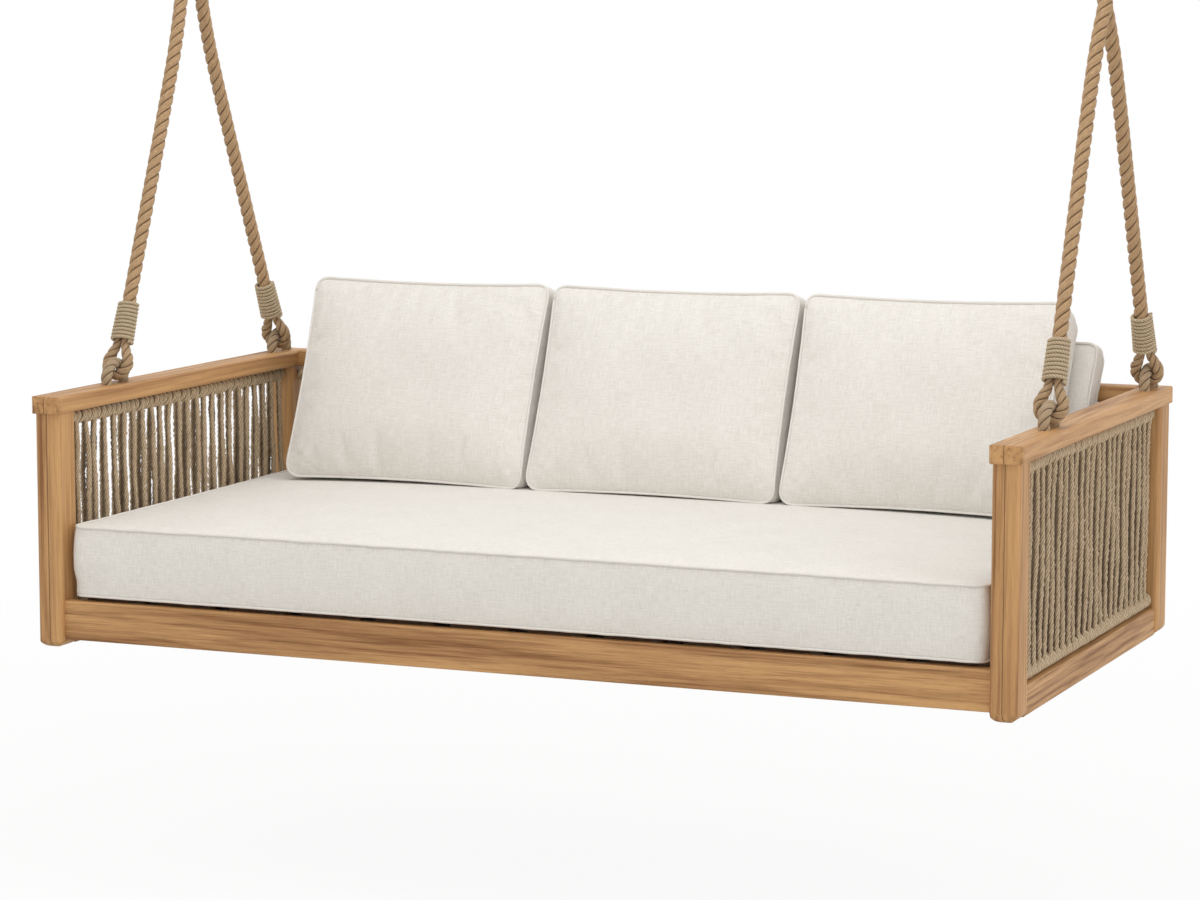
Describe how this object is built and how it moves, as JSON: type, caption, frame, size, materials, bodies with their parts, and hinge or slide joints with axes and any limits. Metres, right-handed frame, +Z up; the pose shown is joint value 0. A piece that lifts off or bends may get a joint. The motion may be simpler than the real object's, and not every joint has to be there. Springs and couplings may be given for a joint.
{
  "type": "hanging swing bed",
  "caption": "Hanging swing bed: teak frame with cord-laced arms and back, a boxed seat cushion, loose back cushions and rope slings to ceiling brackets.",
  "frame": {"origin": "on the ceiling plane, midway between the two ceiling brackets, at the centre of their bolt pattern", "axes": "+X along the bed's length to the right seen from the front, +Y from the front of the bed to its back, +Z up"},
  "size_m": [2.0108, 1.05, 1.5776],
  "materials": {
    "teak": "oiled satin, clear grain",
    "plain_wood": "sanded, unfinished",
    "black_steel": "satin powder coat",
    "zinc_steel": "satin",
    "rope": "three-strand natural rope",
    "loop_rope": "three-strand rope, greyer",
    "whipping_cord": "twisted cord",
    "lacing_cord": "twisted cord",
    "linen": "woven linen, matt"
  },
  "bodies": {
    "ceiling": {"ceiling_bracket_left": "black_steel", "ceiling_bracket_right": "black_steel", "swing_pin_left": "zinc_steel", "swing_pin_right": "zinc_steel"},
    "hangers": {"hanger_left": "black_steel", "hanger_right": "black_steel", "thimble_pin_left": "zinc_steel", "thimble_pin_right": "zinc_steel"},
    "left_ropes": {"thimble_left": "zinc_steel", "rope_left": "rope", "lashing_left": "whipping_cord", "eye_left_front": "rope", "eye_left_rear": "rope", "whipping_left_front": "whipping_cord", "whipping_left_rear": "whipping_cord"},
    "right_ropes": {"thimble_right": "zinc_steel", "rope_right": "rope", "lashing_right": "whipping_cord", "eye_right_front": "rope", "eye_right_rear": "rope", "whipping_right_front": "whipping_cord", "whipping_right_rear": "whipping_cord"},
    "bed": {"arm_loop_left_front": "loop_rope", "arm_loop_left_rear": "loop_rope", "arm_loop_right_front": "loop_rope", "arm_loop_right_rear": "loop_rope", "anchor_left_front": "zinc_steel", "anchor_left_rear": "zinc_steel", "anchor_right_front": "zinc_steel", "anchor_right_rear": "zinc_steel", "post_left_front": "teak", "post_left_rear": "teak", "post_right_front": "teak", "post_right_rear": "teak", "arm_left": "teak", "arm_right": "teak", "side_rail_left": "teak", "side_rail_right": "teak", "front_rail": "teak", "back_rail": "teak", "back_top_rail": "teak", "back_stile_left": "teak", "back_stile_right": "teak", "ledger_front": "plain_wood", "ledger_back": "plain_wood", "bearer": "plain_wood", "slats": "plain_wood", "dowels": "plain_wood", "lacing_rods_left": "zinc_steel", "lacing_rods_right": "zinc_steel", "lacing_rods_back": "zinc_steel", "lacing_left": "lacing_cord", "lacing_right": "lacing_cord", "lacing_back": "lacing_cord", "seat_cushion": "linen", "back_pad": "linen", "back_cushion_left": "linen", "back_cushion_middle": "linen", "back_cushion_right": "linen"}
  },
  "joints": [
    {"name": "swing", "type": "hinge", "parent": "ceiling", "child": "hangers", "pos_m": [0, 0, -0.042], "axis": [1, 0, 0], "range_deg": [-25, 25]},
    {"name": "sway", "type": "hinge", "parent": "hangers", "child": "left_ropes", "pos_m": [-0.958, 0, -0.126], "axis": [0, 1, 0], "range_deg": [-8, 8]},
    {"name": "bed_level", "type": "hinge", "parent": "left_ropes", "child": "bed", "pos_m": [-0.958, 0, -1.05], "axis": [0, 1, 0], "range_deg": [-8, 8]},
    {"name": "sway_right", "type": "hinge", "parent": "hangers", "child": "right_ropes", "pos_m": [0.958, 0, -0.126], "axis": [0, 1, 0], "range_deg": [-8, 8]}
  ],
  "couplings": [
    {"joint": "bed_level", "follows": "sway", "ratio": -1},
    {"joint": "sway_right", "follows": "sway", "ratio": 1}
  ]
}
